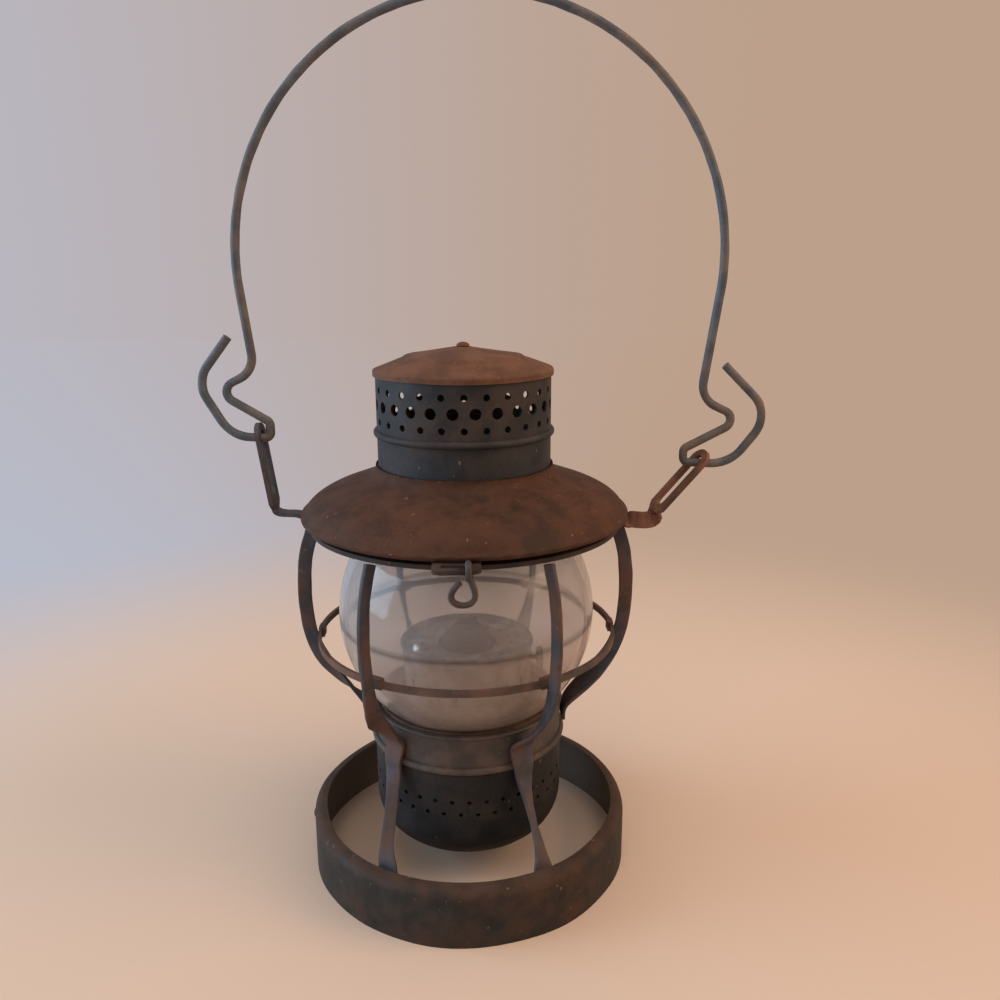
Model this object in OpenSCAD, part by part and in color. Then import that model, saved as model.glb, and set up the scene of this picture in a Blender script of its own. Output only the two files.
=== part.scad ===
// Railroad hand lantern: wire guard frame with a base ring, a hinged lid with a brim and a
// pierced chimney, a clear globe, a twist-off pot with an oil fount and burner, and a wire bail.
// Millimetres. Origin at the centre of the base ring's bottom, +Z up, front towards -Y.

/* [Base ring] */
// Outer radius of the ring that the lantern stands on
base_r = 72; // [68:0.5:78]
// Height of the base ring
base_h = 26.5; // [22:0.5:28]
// Sheet thickness of the base ring
base_wall = 1.6; // [1.2:0.1:2.2]
// Width of the ring's turned-in top edge
base_lip = 5.7; // [4:0.1:7]

/* [Pot and collar] */
// Outer radius of the pot
pot_r = 42.3; // [40:0.1:44]
// Height of the pot's underside above the table
pot_bottom_z = 14.5; // [10:0.5:18]
// Sheet thickness of pot and collar
pot_wall = 1; // [0.8:0.1:1.2]
// Height of the joint between pot and collar
collar_z = 60; // [57:0.5:62]
// Height of the collar band above that joint
collar_h = 17.5; // [16:0.5:20]
// Diameter of the pot's air holes
pot_vent_d = 2; // [1.6:0.1:2.6]
// Air holes in each of the pot's two rows
pot_vents = 36; // [24:4:40]
// Twist that frees the pot from the collar, in degrees
pot_twist = 25; // [15:1:35]

/* [Globe] */
// Largest outer radius of the glass globe
globe_r = 56.2; // [54:0.2:57]
// Height of the globe from foot to top edge
globe_h = 84; // [80:1:86]
// Glass thickness
globe_wall = 3; // [2:0.1:3.6]

/* [Guard frame] */
// Width of the flat bars of the guard
strap_w = 6; // [5:0.1:7]
// Thickness of the flat bars
strap_t = 1.8; // [1.4:0.1:2.2]
// How far the bars' middle line bulges past the ring that carries the lid
guard_bulge = 4.9; // [4.4:0.1:5.4]
// Height of the horizontal guard ring
guard_ring_z = 109; // [105:1:114]
// Width of the guard ring's strip
guard_ring_w = 2.8; // [2:0.1:3.6]
// Sheet thickness of that ring, the ears and the hinge
plate_t = 1.8; // [1.4:0.1:2]

/* [Lid] */
// Outer radius of the brim over its rolled edge
brim_r = 70; // [69.8:0.1:71]
// Rise of the brim from its edge to the chimney
brim_h = 20.5; // [17:0.5:24]
// Radius of the brim's rolled edge
bead_r = 1.4; // [1.1:0.1:1.8]
// Sheet thickness of brim, chimney and cap
lid_t = 0.9; // [0.7:0.1:1.2]
// Outer radius of the chimney
chimney_r = 36.7; // [34:0.1:38]
// Height of the chimney above the brim
chimney_h = 39; // [36:0.5:42]
// Height of the chimney's bead above the brim
chimney_bead_h = 14; // [10:0.5:16]
// Diameter of the chimney's large middle holes
vent_big_d = 4.7; // [3.6:0.1:5.4]
// Diameter of the chimney's small holes
vent_small_d = 2.8; // [2:0.1:3.4]
// Holes in each of the chimney's three rows
chimney_vents = 26; // [18:2:28]
// Rise of the cap from its rim to its top
cap_h = 10; // [7:0.5:14]
// How far the lid opens, in degrees
lid_swing = 105; // [60:5:105]

/* [Bail] */
// Diameter of the bail's wire
wire_d = 3.8; // [3.2:0.1:4]
// Radius of the bail's arch at the middle of the wire
arch_r = 99; // [96:1:102]
// Height of the arch's centre above the line between the ears
arch_rise = 78.5; // [68:0.5:88]
// Sideways shift of the arch's centre, for the bail is bent
arch_shift = 1; // [-3:0.5:4]

/* [Ears] */
// Width of an ear's slotted plate
ear_w = 11.2; // [10.9:0.1:11.4]
// Width of the slot in an ear
ear_slot_w = 5.2; // [5.1:0.1:5.4]
// Length of the slot in an ear
ear_slot_l = 26; // [20:0.5:27]

/* [Latch] */
// Diameter of the latch hook's wire
latch_d = 2.6; // [2:0.1:2.8]
// Length of the slotted plate that the hook hangs in
latch_plate_l = 18; // [16:0.5:22]

/* [Fount and burner] */
// Outer radius of the burner gallery's rim
gallery_r = 30; // [26:0.1:30.4]
// Height of the gallery's rim
gallery_top_z = 104; // [102:0.5:105]
// Width of the flat wick
wick_w = 8.2; // [6:0.1:9]
// Thickness of the wick
wick_t = 1.5; // [1:0.1:1.6]
// Radius of the wick knob
knob_r = 5; // [4:0.1:6]

/* [Hidden] */
$fn = 64;

// Clearances: between parts that are seated, that slide in each other, and that swing past
seat_gap = 0.1;
fit_gap = 0.05;
free_gap = 0.5;
eps = 0.01;

// Heights up the lantern
seat_top = collar_z + collar_h - 0.6;
globe_z0 = seat_top + 0.3;
globe_z1 = globe_z0 + globe_h;
globe_zc = (globe_z0 + globe_z1) / 2;
ring_top = globe_z1 - 0.4;
ring_z = ring_top - plate_t;
plate_z = ring_top + seat_gap;
plate_top = plate_z + plate_t;
bead_z = plate_top + free_gap + bead_r;
brim_top = bead_z + brim_h;
chimney_top = brim_top + chimney_h;
cap_top = chimney_top + 0.3 + cap_h;

// Radii worked out from the sizes above
base_in = base_r - base_wall;
base_hole = base_r - base_lip;
collar_in = pot_r - pot_wall - 0.25;
collar_out = collar_in + pot_wall;
pot_neck_r = collar_in - fit_gap;
fount_r = pot_neck_r - pot_wall - 0.4;
frame_r = brim_r - 3.7;
frame_in = frame_r - 6.3;
guard_r = frame_r + guard_bulge;
rivet_ring_r = (frame_r + frame_in) / 2;
bead_rc = brim_r - bead_r;
neck_in = chimney_r + seat_gap;
neck_out = neck_in + lid_t;
chimney_in = chimney_r - lid_t;
guard_ring_r = guard_r - 1.4 - strap_w / 2 - 1.1;

// Rivets
rivet_r = 1.1;
rivet_head = 2.3;
rivet_head_h = 1.1;

// Where the bail swings: the wire runs through both ear slots along this line
pivot_left = [-frame_r - 19.2, plate_top + 33.8];
pivot_right = [frame_r + 34.1, plate_top + 20.7];
pivot_dir = (pivot_right - pivot_left) / norm(pivot_right - pivot_left);
ear_dir_left = [-0.13, 0.9915];
ear_dir_right = [0.648, 0.7616];
ear_twist_left = -4;
ear_twist_right = 14;
// Distance from the pivot to the centre of the slot's round end
slot_end = 0.85;

// Latch: the bar that the hook's eye hangs on, and the tilt of its plate
latch_x = -3.5;
latch_tilt = 2;
latch_w = 9.2;
latch_bar = 2.2;
latch_slot = latch_d + 0.8;
latch_root_y = frame_r + 0.4;
latch_bar_y = -(latch_root_y + (latch_w - latch_bar / 2) * cos(latch_tilt));
latch_bar_z = plate_z + plate_t / 2 - (latch_w - latch_bar / 2) * sin(latch_tilt);
hook_x = 0.8;

// Lid hinge
pin_r = 1.2;
barrel_r = 2.5;
hinge_y = brim_r + 3.1;
hinge_z = plate_z + plate_t / 2;

// Burner
shaft_r = 1;
shaft_z = gallery_top_z - 8.5;
wheel_r = 3.2;
shaft_y = -(wick_t / 2 + 0.25 + wheel_r);
tube_gap = 0.25;
tube_wall = 0.6;
tube_w = wick_w + 2 * (tube_gap + tube_wall);
tube_t = wick_t + 2 * (tube_gap + tube_wall);
deck_z = gallery_top_z - 3.4;

iron = "dimgray";
rust = "saddlebrown";
brass = "darkgoldenrod";

function unit(v) = v / norm(v);
function turned(p, a) = [p[0] * cos(a) - p[1] * sin(a), p[0] * sin(a) + p[1] * cos(a), p[2]];
function arc(cx, cy, rx, ry, a0, a1, n) =
    [for (i = [0:n]) let(a = a0 + (a1 - a0) * i / n) [cx + rx * cos(a), cy + ry * sin(a)]];
function rev(l) = [for (i = [len(l) - 1:-1:0]) l[i]];

// Smooth curve through a list of points, n steps to each span
function spline_at(p, i, t) =
    let(a = p[max(i - 1, 0)], b = p[i], c = p[i + 1], d = p[min(i + 2, len(p) - 1)])
    0.5 * ((2 * b) + (c - a) * t + (2 * a - 5 * b + 4 * c - d) * t * t
           + (3 * b - a - 3 * c + d) * t * t * t);
function spline(p, n) =
    concat([for (i = [0:len(p) - 2], k = [0:n - 1]) spline_at(p, i, k / n)], [p[len(p) - 1]]);

// The same outline moved sideways by d
function beside(p, d) =
    [for (i = [0:len(p) - 1])
        let(t = unit(p[min(i + 1, len(p) - 1)] - p[max(i - 1, 0)])) p[i] + d * [t[1], -t[0]]];

// Round arc in a corner b between points a and c
function corner(a, b, c, r, n) =
    let(u = unit(a - b), v = unit(c - b), half = acos(u * v) / 2,
        s = b + u * r / tan(half), e = b + v * r / tan(half),
        m = b + unit(u + v) * r / sin(half), sweep = 180 - 2 * half)
    [for (i = [0:n]) let(t = i / n)
        m + (sin((1 - t) * sweep) * (s - m) + sin(t * sweep) * (e - m)) / sin(sweep)];
function rounded(p, r, n) =
    concat([p[0]], [for (i = [1:len(p) - 2]) each corner(p[i - 1], p[i], p[i + 1], r[i], n)],
           [p[len(p) - 1]]);

// Skin of triangles over a row of rings that have the same number of points
function skin_faces(rings, sides) =
    concat([for (i = [0:rings - 2], k = [0:sides - 1])
                let(a = i * sides + k, b = i * sides + (k + 1) % sides)
                each [[a, b + sides, b], [a, a + sides, b + sides]]],
           [for (k = [1:sides - 2]) [0, k, k + 1]],
           [for (k = [1:sides - 2]) let(e = (rings - 1) * sides) [e, e + k + 1, e + k]]);

// Round wire along a path
module wire(path, r, sides, ref) {
    pts = [for (i = [0:len(path) - 1])
        let(t = unit(path[min(i + 1, len(path) - 1)] - path[max(i - 1, 0)]),
            n = unit(cross(ref, t)), b = cross(t, n))
        each [for (k = [0:sides - 1]) path[i] + r * (cos(360 * k / sides) * n
                                                     + sin(360 * k / sides) * b)]];
    polyhedron(pts, skin_faces(len(path), sides), convexity = 8);
}

// Flat bar along a path; each station is [x, z, width, thickness, twist, turn round the z axis]
module flat_bar(stations, n) {
    st = spline(stations, n);
    last = len(st) - 1;
    pts = [for (i = [0:last])
        let(s = st[i], q = st[max(i - 1, 0)], e = st[min(i + 1, last)],
            t = unit([e[0] - q[0], 0, e[1] - q[1]]), nrm = [t[2], 0, -t[0]], side = [0, 1, 0],
            w = cos(s[4]) * nrm + sin(s[4]) * side, u = cross(t, w))
        each [for (c = [[-1, -1], [1, -1], [1, 1], [-1, 1]])
            turned([s[0], 0, s[1]] + c[0] * s[2] / 2 * w + c[1] * s[3] / 2 * u, s[5])]];
    polyhedron(pts, skin_faces(len(st), 4), convexity = 6);
}

// Rivet along z with its grip from z = 0 to z = grip
module rivet(grip, r = rivet_r - fit_gap, head = rivet_head, h = rivet_head_h) {
    top = arc(0, grip + seat_gap, head, h, 0, 90, 6);
    low = arc(0, -seat_gap, head, h, -90, 0, 6);
    rotate_extrude()
        polygon(concat([[0, -seat_gap - h]], [for (i = [1:5]) low[i]],
                       [[head, -seat_gap], [r, -seat_gap], [r, grip + seat_gap],
                        [head, grip + seat_gap]],
                       [for (i = [1:5]) top[i]], [[0, grip + seat_gap + h]]));
}

module at_angle(a) {
    rotate([0, 0, a]) children();
}

// Base ring: upright band with a rounded shoulder and a turned-in edge
module base_ring() {
    shoulder = base_lip - base_wall / 2;
    outer = arc(base_r - shoulder, base_h - shoulder, shoulder, shoulder, 0, 90, 8);
    inner = arc(base_r - shoulder, base_h - shoulder, shoulder - base_wall, shoulder - base_wall, 90, 0, 8);
    color(iron)
    difference() {
        rotate_extrude($fn = 128)
            polygon(concat([[base_in, 0], [base_r, 0]], outer,
                           [[base_hole, base_h], [base_hole, base_h - base_wall]], inner));
        translate([-base_r - 1, 0, seam_rivet_z]) rotate([0, 90, 0])
            cylinder(h = base_wall + 2, r = rivet_r, $fn = 24);
    }
}
seam_rivet_z = 16.5;

module base_seam_rivet() {
    color(iron)
    translate([-base_in + 0.05, 0, seam_rivet_z]) rotate([0, -90, 0]) rivet(base_wall, head = 2.4, h = 1.3);
}

// Collar: band with a rolled bead at its foot and a small rolled upper edge
module collar_band() {
    color(iron)
    rotate_extrude($fn = 96)
        polygon(concat([[collar_in, collar_z]],
                       arc(collar_out + 0.2, collar_z + 1.6, 1.6, 1.6, -90, 90, 8),
                       [[collar_out, collar_z + 3.2]],
                       arc(collar_out, collar_z + collar_h - 0.8, 0.8, 0.8, -90, 90, 6),
                       [[collar_in, collar_z + collar_h]]));
}

bayonet_z = collar_z + 5;
bayonet_pin_r = 1.3;
bayonet_angles = [15, 135, 255];

module bayonet_pins() {
    color(iron)
    for (a = bayonet_angles) at_angle(a)
        translate([fount_r + 0.2, 0, bayonet_z]) rotate([0, 90, 0])
            cylinder(h = collar_in - seat_gap - fount_r - 0.2, r = bayonet_pin_r, $fn = 24);
}

// Globe seat: dished ring in the collar with an upstanding rim round the glass foot
foot_r = sqrt(globe_r * globe_r - globe_h * globe_h / 4);
seat_in = gallery_r + 3;
module globe_seat() {
    rim = foot_r + 1.3;
    color(rust)
    rotate_extrude($fn = 96)
        polygon([[seat_in, seat_top - 1.5], [collar_in - seat_gap, seat_top - 1.5],
                 [collar_in - seat_gap, seat_top], [rim + 1, seat_top], [rim + 1, seat_top + 1],
                 [rim, seat_top + 1], [rim, seat_top], [seat_in, seat_top]]);
}

// Globe: blown glass bowl, open and ground flat at both ends
module globe() {
    color("lightsteelblue", 0.35)
    intersection() {
        difference() {
            translate([0, 0, globe_zc]) sphere(r = globe_r, $fn = 128);
            translate([0, 0, globe_zc]) sphere(r = globe_r - globe_wall, $fn = 128);
        }
        translate([0, 0, globe_z0]) cylinder(h = globe_h, r = globe_r + 2, $fn = 96);
    }
}

// Stations of a guard bar from the top ring down to the collar
bar_in = collar_out + 0.4 + strap_t / 2;
bead_out = collar_out + 1.8 + 0.5 + strap_t / 2;
function bar_upper(lean) = [
    [guard_r - 5.7, ring_z - 1, strap_w, strap_t, 0, 0],
    [guard_r - 1.7, ring_z - 13, strap_w, strap_t, 0, 0],
    [guard_r, ring_z - 27, strap_w, strap_t, 0, 0],
    [guard_r - 0.2, ring_z - 39, strap_w, strap_t, 0, 0],
    [guard_r - 1.4, guard_ring_z, strap_w, strap_t, 0, 0],
    [guard_r - 5.2, guard_ring_z - 11, strap_w + 0.5, strap_t, 12, 0.15 * lean],
    [guard_r - 11.2, guard_ring_z - 20, strap_w + 2, strap_t, 38, 0.42 * lean],
    [bar_in + 9.5, seat_top + 4, strap_w + 4, strap_t, 66, 0.8 * lean],
    [bar_in + 2.6, seat_top - 3.4, strap_w + 5, strap_t, 86, lean],
    [bar_in + 0.4, collar_z + 9, strap_w + 5, strap_t, 90, lean]];
// Stations of the leg that goes on from the collar to the base ring
function bar_leg(lean) = [
    [bead_out, collar_z + 2.4, strap_w + 3.6, strap_t, 90, lean],
    [bead_out + 0.6, collar_z - 3, strap_w + 2, strap_t, 84, 0.9 * lean],
    [bead_out + 4.2, collar_z - 11, strap_w, strap_t, 62, 0.65 * lean],
    [bead_out + 10.2, collar_z - 21, strap_w - 0.6, strap_t, 48, 0.35 * lean],
    [bead_out + 16, base_h + 3.5, strap_w + 0.6, strap_t, 66, 0.1 * lean],
    [base_hole - 2.6, base_h - 3, strap_w + 3, strap_t, 86, -0.1 * lean],
    [base_in - 2.6, base_h - 11, strap_w + 4, strap_t, 90, -0.2 * lean],
    [base_in - 0.5 - strap_t / 2, base_h - 17, strap_w + 4.4, strap_t, 90, -0.2 * lean],
    [base_in - 0.5 - strap_t / 2, 3, strap_w + 4.4, strap_t, 90, -0.2 * lean]];

module long_strap(a, lean) {
    color(rust) at_angle(a) flat_bar(concat(bar_upper(lean), bar_leg(lean)), 3);
}
module short_strap(a) {
    foot = [bar_in + 0.3, collar_z + 4.2, strap_w + 4, strap_t, 90, 0];
    color(iron) at_angle(a) flat_bar(concat(bar_upper(0), [foot]), 3);
}
// Angles of the bars, from the right side round; the front left one is bent sideways at the collar
bar_angles = [0, 60, 120, 180, -123.5, -61.5];
module guard_strap_front_left() { long_strap(bar_angles[4], -12); }
module guard_strap_front_right() { long_strap(bar_angles[5], 2); }
module guard_strap_rear_left() { long_strap(bar_angles[2], 0); }
module guard_strap_rear_right() { long_strap(bar_angles[1], 0); }
module guard_strap_left() { short_strap(bar_angles[3]); }
module guard_strap_right() { short_strap(bar_angles[0]); }

guard_strip_t = 1.5;
module guard_ring() {
    color(rust)
    rotate_extrude($fn = 128)
        translate([guard_ring_r - guard_strip_t, guard_ring_z - guard_ring_w / 2])
            square([guard_strip_t, guard_ring_w]);
}

// Clips: small sleeves that hold the guard ring to the six bars
module guard_clips() {
    c = seat_gap;
    color(rust)
    for (a = bar_angles) at_angle(a - 2.6)
        rotate_extrude(angle = 5.2, $fn = 96)
            difference() {
                translate([guard_ring_r - guard_strip_t - 1, guard_ring_z - guard_ring_w / 2 - 0.8])
                    square([guard_strip_t + 1, guard_ring_w + 1.6]);
                translate([guard_ring_r - guard_strip_t - c, guard_ring_z - guard_ring_w / 2 - c])
                    square([guard_strip_t + 1, guard_ring_w + 2 * c]);
            }
}

// Places of the rivets in the top ring: angle and sideways offset
ear_rivet_y = 5;
hinge_rivet_x = 6.2;
latch_rivet_x = [latch_x - 5.5, latch_x + 5.5];

module ear_rivet_places() {
    for (s = [-1, 1], y = [-ear_rivet_y, ear_rivet_y]) translate([s * rivet_ring_r, y, 0]) children();
}
module hinge_rivet_places() {
    for (x = [-hinge_rivet_x, hinge_rivet_x]) translate([x, rivet_ring_r, 0]) children();
}
module latch_rivet_places() {
    for (x = latch_rivet_x) translate([x, -rivet_ring_r, 0]) children();
}
module rivet_hole() {
    translate([0, 0, ring_z - 1]) cylinder(h = 2 * plate_t + 3, r = rivet_r, $fn = 24);
}
module ring_rivet() {
    translate([0, 0, ring_z]) rivet(plate_top - ring_z);
}

// Top ring: flat ring under the brim that joins the bars and carries ears, hinge and latch
module top_ring() {
    color(iron)
    difference() {
        translate([0, 0, ring_z]) rotate_extrude($fn = 128)
            translate([frame_in, 0]) square([frame_r - frame_in, plate_t]);
        ear_rivet_places() rivet_hole();
        hinge_rivet_places() rivet_hole();
        latch_rivet_places() rivet_hole();
    }
}
module ear_rivets() {
    color(iron) ear_rivet_places() ring_rivet();
}
module hinge_rivets() {
    color(iron) hinge_rivet_places() ring_rivet();
}
module latch_rivets() {
    color(iron) latch_rivet_places() ring_rivet();
}

// Slotted end of an ear, flat in the plane of x and y, long side along x, pivot at the origin;
// below the slot it stays wide for a length of wide before it tapers to the neck
module ear_plate(wide) {
    slot_low = slot_end - ear_slot_l;
    low = slot_low - wide;
    translate([0, 0, -plate_t / 2]) linear_extrude(plate_t)
        difference() {
            union() {
                translate([slot_end, 0]) circle(r = ear_w / 2, $fn = 48);
                translate([low, -ear_w / 2]) square([slot_end - low, ear_w]);
                polygon([[low - 2.6, -3.4], [low, -ear_w / 2], [low, ear_w / 2], [low - 2.6, 3.4]]);
            }
            hull() {
                translate([slot_end, 0]) circle(r = ear_slot_w / 2, $fn = 32);
                translate([slot_low + ear_slot_w / 2 + 1, 0]) circle(r = ear_slot_w / 2, $fn = 32);
            }
        }
}

// Ear: foot on the top ring, neck under the brim, bend, and the slotted plate
neck_t = plate_t - 0.1;
ear_z = plate_z + plate_t / 2;
module ear(pivot, dir, twist, neck, wide) {
    s = sign(pivot[0]);
    foot = pivot + dir * (slot_end - ear_slot_l - wide - 2);
    start = [[s * (frame_r - 2), ear_z, neck_t, 7, 0, 0]];
    end = [[foot[0], foot[1], neck_t, 6.6, twist, 0],
           [foot[0] + dir[0] * 2, foot[1] + dir[1] * 2, neck_t, 6.6, twist, 0]];
    difference() {
        union() {
            translate([s > 0 ? frame_in + 0.8 : -frame_r + 0.2, -8, plate_z])
                cube([frame_r - frame_in - 1, 16, plate_t]);
            flat_bar(concat(start, neck, end), 4);
            translate([pivot[0], 0, pivot[1]]) rotate([0, -atan2(dir[1], dir[0]), 0])
                rotate([twist, 0, 0]) ear_plate(wide);
        }
        ear_rivet_places() rivet_hole();
    }
}
module ear_left() {
    neck = [[-frame_r - 2, ear_z, neck_t, 7, 0, 0], [-frame_r - 6, ear_z + 1.3, neck_t, 6.6, 0, 0],
            [-frame_r - 11.4, ear_z + 1.6, neck_t, 6.2, 0, 0], [-frame_r - 14.6, ear_z + 2.7, neck_t, 6.2, -2, 0]];
    color(iron) ear(pivot_left, ear_dir_left, ear_twist_left, neck, 3);
}
// The right neck rolls on edge under the brim, a little in front of the bar there
module ear_right() {
    neck = [[frame_r + 0.2, ear_z, neck_t, 7, 0, -0.6], [frame_r + 1.6, ear_z - 0.4, neck_t, 7, 10, -1.4],
            [frame_r + 3.9, ear_z - 2.6, neck_t, 7, 50, -2.2],
            [frame_r + 6.8, ear_z - 2.9, neck_t, 7.2, 74, -1.6], [frame_r + 12.4, ear_z - 3.7, neck_t, 7.2, 76, -0.5],
            [frame_r + 16.2, ear_z - 2.9, neck_t, 7.2, 60, 0]];
    color(rust) ear(pivot_right, ear_dir_right, ear_twist_right, neck, 0);
}

// Frame side of the lid hinge: leaf on the top ring and two barrels
barrel_half = 4;
hinge_half = 9.5;
module hinge_leaf_frame() {
    color(iron)
    difference() {
        union() {
            translate([-hinge_half, frame_in + 0.8, plate_z])
                cube([2 * hinge_half, hinge_y - frame_in - 0.8, plate_t]);
            translate([-hinge_half, hinge_y, hinge_z]) rotate([0, 90, 0])
                cylinder(h = 2 * hinge_half, r = barrel_r, $fn = 32);
        }
        translate([-barrel_half - 0.3, brim_r - 0.6, hinge_z - 10]) cube([2 * barrel_half + 0.6, 8 * barrel_r, 20]);
        translate([-hinge_half - 1, hinge_y, hinge_z]) rotate([0, 90, 0])
            cylinder(h = 2 * hinge_half + 2, r = pin_r + fit_gap, $fn = 32);
        hinge_rivet_places() rivet_hole();
    }
}

module hinge_pin() {
    color("gray")
    translate([0, hinge_y, hinge_z]) rotate([0, 90, 0]) {
        translate([0, 0, -hinge_half - 0.4]) cylinder(h = 2 * hinge_half + 0.8, r = pin_r, $fn = 32);
        for (s = [-1, 1]) translate([0, 0, s * (hinge_half + 0.7) - 0.5])
            cylinder(h = 1, r = pin_r + 0.7, $fn = 32);
    }
}

// Latch plate: foot on the top ring and a slotted tongue under the brim's edge
module latch_plate() {
    color(rust)
    difference() {
        union() {
            translate([latch_x - latch_plate_l / 2, -latch_root_y - 0.3, plate_z])
                cube([latch_plate_l, latch_root_y - frame_in - 0.5, plate_t]);
            translate([latch_x, -latch_root_y, plate_z + plate_t / 2]) rotate([latch_tilt, 0, 0])
                translate([0, 0, -plate_t / 2 + 0.05]) linear_extrude(plate_t - 0.1)
                    difference() {
                        hull() for (s = [-1, 1]) {
                            translate([s * (latch_plate_l / 2 - 3), -latch_w + 3]) circle(r = 3, $fn = 32);
                            translate([s * (latch_plate_l / 2 - 1.5) - 1, -0.5]) square([2, 1]);
                        }
                        translate([-latch_plate_l / 2 + 3.4, -latch_w + latch_bar])
                            square([latch_plate_l - 6.8, latch_slot]);
                    }
            translate([latch_x - latch_plate_l / 2 + 3.2, latch_bar_y, latch_bar_z]) rotate([0, 90, 0])
                cylinder(h = latch_plate_l - 6.4, r = 1.3, $fn = 32);
        }
        latch_rivet_places() rivet_hole();
    }
}

// Latch hook: eye round the plate's outer bar, a short shank and a finger curl
eye_r = norm([latch_bar, plate_t]) / 2 + 0.25 + latch_d / 2;
module latch_hook() {
    y = latch_bar_y;
    z = latch_bar_z;
    eye = [for (a = [235:-15:0]) [hook_x, y + eye_r * cos(a), z + eye_r * sin(a)]];
    curl = [[hook_x + 0.1, y + 2.2, z - 1.8], [hook_x + 0.8, y + 1, z - 3.6],
            [hook_x + 1.6, y + 0.2, z - 5.6], [hook_x + 2.3, y, z - 8.2],
            [hook_x + 1.9, y, z - 10.9], [hook_x - 0.2, y, z - 12.5], [hook_x - 2.6, y, z - 12.8],
            [hook_x - 5, y, z - 12], [hook_x - 6.4, y, z - 10], [hook_x - 6, y, z - 7.8],
            [hook_x - 4.6, y, z - 5.8], [hook_x - 2.8, y, z - 3.9]];
    color(iron) wire(concat(eye, spline(curl, 2)), latch_d / 2, 8, [0.62, 0.35, -0.7]);
}

// Brim: sheet dome from the chimney neck out to the rolled edge
brim_shape = [[0.000, 1.010], [0.012, 0.920], [0.060, 0.830], [0.150, 0.755], [0.270, 0.690], [0.400, 0.620],
              [0.540, 0.540], [0.700, 0.445], [0.840, 0.330], [0.930, 0.215], [0.985, 0.110]];
function brim_outer() =
    spline([for (p = brim_shape) [neck_out + p[0] * (bead_rc - neck_out), bead_z + p[1] * brim_h]], 3);
function brim_at(r) =
    let(b = brim_outer(), k = [for (i = [0:len(b) - 2]) if (b[i][0] <= r && b[i + 1][0] > r) i][0],
        t = (r - b[k][0]) / (b[k + 1][0] - b[k][0])) b[k][1] + t * (b[k + 1][1] - b[k][1]);
module brim() {
    outer = brim_outer();
    last = outer[len(outer) - 1];
    under = beside(outer, lid_t);
    inner = [for (p = under) [max(p[0], neck_in), p[1]]];
    a0 = atan2(last[1] - bead_z, last[0] - bead_rc);
    color(rust)
    difference() {
        rotate_extrude($fn = 128)
            polygon(concat([[neck_in, brim_top + 0.2], [neck_out, brim_top + 0.2]], outer,
                           [for (a = [60:-20:-200]) [bead_rc + bead_r * cos(a), bead_z + bead_r * sin(a)]],
                           [for (i = [len(inner) - 1:-1:4]) inner[i]], [[neck_in, brim_top - 3.6]]));
        lid_rivet_places() cylinder(h = 8, r = rivet_r, center = true, $fn = 24);
    }
}

// A row of holes round a wall
module hole_row(count, z, d, r0, r1, turn = 0) {
    for (i = [0:count - 1]) at_angle((i + turn) * 360 / count)
        translate([r0, 0, z]) rotate([0, 90, 0]) cylinder(h = r1 - r0, d = d, $fn = 16);
}

// Chimney: pierced tube with a rolled bead below three rows of holes
row_mid_z = chimney_top - 12.8;
row_step = 6.3;
module chimney() {
    bz = brim_top + chimney_bead_h;
    color("darkslategray")
    difference() {
        rotate_extrude($fn = 96)
            polygon(concat([[chimney_in, brim_top - 3.2], [chimney_r, brim_top - 3.2]],
                           arc(chimney_r, bz, 1.5, 1.5, -90, 90, 8),
                           [[chimney_r, chimney_top], [chimney_in, chimney_top]],
                           arc(chimney_in, bz, 1.1, 1.1, 90, -90, 6)));
        hole_row(chimney_vents, row_mid_z, vent_big_d, chimney_in - 2, chimney_r + 2);
        hole_row(chimney_vents, row_mid_z + row_step, vent_small_d, chimney_in - 2, chimney_r + 2, 0.5);
        hole_row(chimney_vents, row_mid_z - row_step - 0.3, vent_small_d, chimney_in - 2, chimney_r + 2, 0.5);
    }
}

// Draft bell: funnel under the lid that leads the hot air up and steadies the globe
module draft_bell() {
    r1 = chimney_in - 0.3;
    low_r = foot_r + 4;
    line = spline([[r1, brim_top + 2], [r1, brim_top - 9], [r1 + 1.2, brim_top - 15],
                   [low_r, globe_z1 + 3.4], [low_r + 0.4, globe_z1 + 0.4]], 3);
    color(iron)
    rotate_extrude($fn = 96)
        polygon(concat([for (p = line) [p[0], p[1]]], rev([for (p = line) [p[0] - 0.8, p[1]]])));
}

// Cap: shallow stepped cone with a short skirt over the chimney
cap_in = chimney_r + seat_gap;
cap_out = cap_in + lid_t;
cap_skirt = 1.4;
module cap() {
    z0 = chimney_top + 0.1;
    zs = z0 + cap_h * 0.58;
    rs = cap_out * 0.66;
    top = concat(arc(cap_out - 1, z0 + 0.3, 1, 1, 0, 70, 4),
                 [[rs + 0.8, zs - 0.3], [rs, zs + 0.4], [rivet_head, z0 + cap_h]]);
    color(rust)
    difference() {
        rotate_extrude($fn = 96)
            polygon(concat([[cap_in, z0 - cap_skirt], [cap_out, z0 - cap_skirt]], top,
                           [[0, z0 + cap_h], [0, z0 + cap_h - 1], [3.4, z0 + cap_h - 1],
                            [rs, zs - 0.7], [rs + 0.8, zs - 1.4], [cap_in, z0]]));
        translate([0, 0, cap_top - 5]) cylinder(h = 9, r = rivet_r, $fn = 24);
    }
}
module cap_rivet() {
    color(rust)
    translate([0, 0, chimney_top + 0.1 + cap_h - 1]) rivet(1, head = 2.8, h = 1.6);
}

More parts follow.
